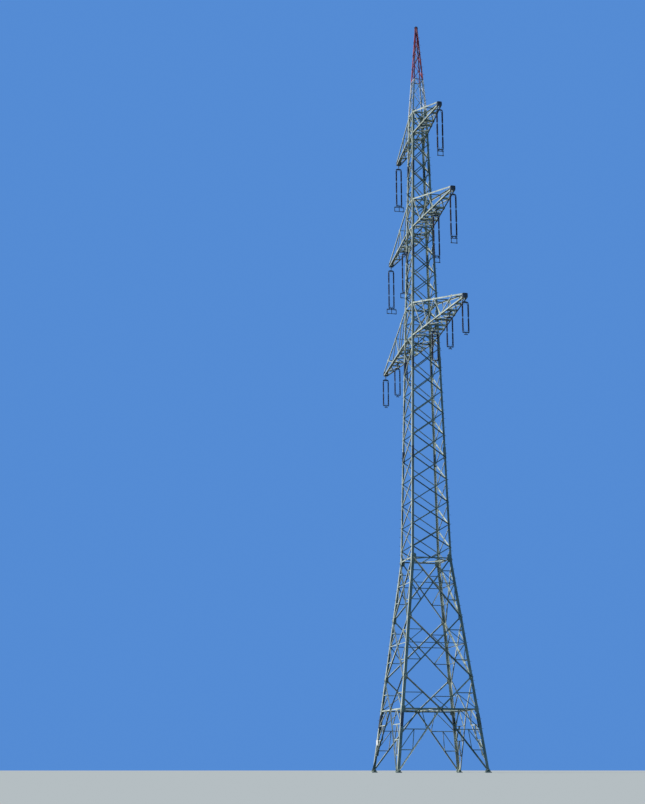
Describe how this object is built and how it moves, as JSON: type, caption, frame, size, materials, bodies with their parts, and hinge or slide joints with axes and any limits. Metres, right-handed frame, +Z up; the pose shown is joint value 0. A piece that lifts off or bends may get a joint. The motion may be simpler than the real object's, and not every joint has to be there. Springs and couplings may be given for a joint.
{
  "type": "scale model of a lattice transmission pylon",
  "caption": "Square lattice steel transmission pylon at half scale: tapering legs, crossed bracing, stepped cross-arms, swinging long-rod insulator sets and a pointed earth-wire peak.",
  "frame": {"origin": "middle of the base, in the plane of the undersides of the four foot plates", "axes": "+X along the line, -Y towards the front cross-arms, the near ones in the picture, +Z up"},
  "size_m": [4.134, 12.64, 35.2],
  "materials": {
    "lattice": "weathered grey-green paint, matt",
    "peak_white": "weathered white paint, matt",
    "peak_red": "weathered red paint, matt",
    "fittings": "dull galvanised steel",
    "insulators": "brown glaze, glossy"
  },
  "bodies": {
    "tower": {"bottom_arm_back": "lattice", "bottom_arm_front": "lattice", "leg_back_left": "lattice", "leg_back_right": "lattice", "leg_front_left": "lattice", "leg_front_right": "lattice", "lower_bracing_back": "lattice", "lower_bracing_front": "lattice", "lower_bracing_left": "lattice", "lower_bracing_right": "lattice", "middle_arm_back": "lattice", "middle_arm_front": "lattice", "peak_red": "peak_red", "peak_white": "peak_white", "plan_bracing": "lattice", "top_arm_back": "lattice", "top_arm_front": "lattice", "upper_bracing_back": "lattice", "upper_bracing_front": "lattice", "upper_bracing_left": "lattice", "upper_bracing_right": "lattice"},
    "bottom_inner_set_front": {"bottom_inner_strings_front": "insulators", "bottom_inner_fittings_front": "fittings"},
    "bottom_inner_set_back": {"bottom_inner_strings_back": "insulators", "bottom_inner_fittings_back": "fittings"},
    "bottom_middle_set_front": {"bottom_middle_strings_front": "insulators", "bottom_middle_fittings_front": "fittings"},
    "bottom_middle_set_back": {"bottom_middle_strings_back": "insulators", "bottom_middle_fittings_back": "fittings"},
    "bottom_tip_set_front": {"bottom_tip_strings_front": "insulators", "bottom_tip_fittings_front": "fittings"},
    "bottom_tip_set_back": {"bottom_tip_strings_back": "insulators", "bottom_tip_fittings_back": "fittings"},
    "middle_inner_set_front": {"middle_inner_strings_front": "insulators", "middle_inner_fittings_front": "fittings"},
    "middle_inner_set_back": {"middle_inner_strings_back": "insulators", "middle_inner_fittings_back": "fittings"},
    "middle_tip_set_front": {"middle_tip_strings_front": "insulators", "middle_tip_fittings_front": "fittings"},
    "middle_tip_set_back": {"middle_tip_strings_back": "insulators", "middle_tip_fittings_back": "fittings"},
    "top_tip_set_front": {"top_tip_strings_front": "insulators", "top_tip_fittings_front": "fittings"},
    "top_tip_set_back": {"top_tip_strings_back": "insulators", "top_tip_fittings_back": "fittings"}
  },
  "joints": [
    {"name": "bottom_inner_swing_front", "type": "hinge", "parent": "tower", "child": "bottom_inner_set_front", "pos_m": [0, -2.025, 19.157], "axis": [1, 0, 0], "range_deg": [-25, 25]},
    {"name": "bottom_inner_swing_back", "type": "hinge", "parent": "tower", "child": "bottom_inner_set_back", "pos_m": [0, 2.025, 19.157], "axis": [1, 0, 0], "range_deg": [-25, 25]},
    {"name": "bottom_middle_swing_front", "type": "hinge", "parent": "tower", "child": "bottom_middle_set_front", "pos_m": [0, -4.15, 19.157], "axis": [1, 0, 0], "range_deg": [-25, 25]},
    {"name": "bottom_middle_swing_back", "type": "hinge", "parent": "tower", "child": "bottom_middle_set_back", "pos_m": [0, 4.15, 19.157], "axis": [1, 0, 0], "range_deg": [-25, 25]},
    {"name": "bottom_tip_swing_front", "type": "hinge", "parent": "tower", "child": "bottom_tip_set_front", "pos_m": [0, -6.275, 19.157], "axis": [1, 0, 0], "range_deg": [-25, 25]},
    {"name": "bottom_tip_swing_back", "type": "hinge", "parent": "tower", "child": "bottom_tip_set_back", "pos_m": [0, 6.275, 19.157], "axis": [1, 0, 0], "range_deg": [-25, 25]},
    {"name": "middle_inner_swing_front", "type": "hinge", "parent": "tower", "child": "middle_inner_set_front", "pos_m": [0, -2.55, 24.507], "axis": [1, 0, 0], "range_deg": [-25, 25]},
    {"name": "middle_inner_swing_back", "type": "hinge", "parent": "tower", "child": "middle_inner_set_back", "pos_m": [0, 2.55, 24.507], "axis": [1, 0, 0], "range_deg": [-25, 25]},
    {"name": "middle_tip_swing_front", "type": "hinge", "parent": "tower", "child": "middle_tip_set_front", "pos_m": [0, -5.025, 24.507], "axis": [1, 0, 0], "range_deg": [-25, 25]},
    {"name": "middle_tip_swing_back", "type": "hinge", "parent": "tower", "child": "middle_tip_set_back", "pos_m": [0, 5.025, 24.507], "axis": [1, 0, 0], "range_deg": [-25, 25]},
    {"name": "top_tip_swing_front", "type": "hinge", "parent": "tower", "child": "top_tip_set_front", "pos_m": [0, -3.4, 29.307], "axis": [1, 0, 0], "range_deg": [-25, 25]},
    {"name": "top_tip_swing_back", "type": "hinge", "parent": "tower", "child": "top_tip_set_back", "pos_m": [0, 3.4, 29.307], "axis": [1, 0, 0], "range_deg": [-25, 25]}
  ]
}
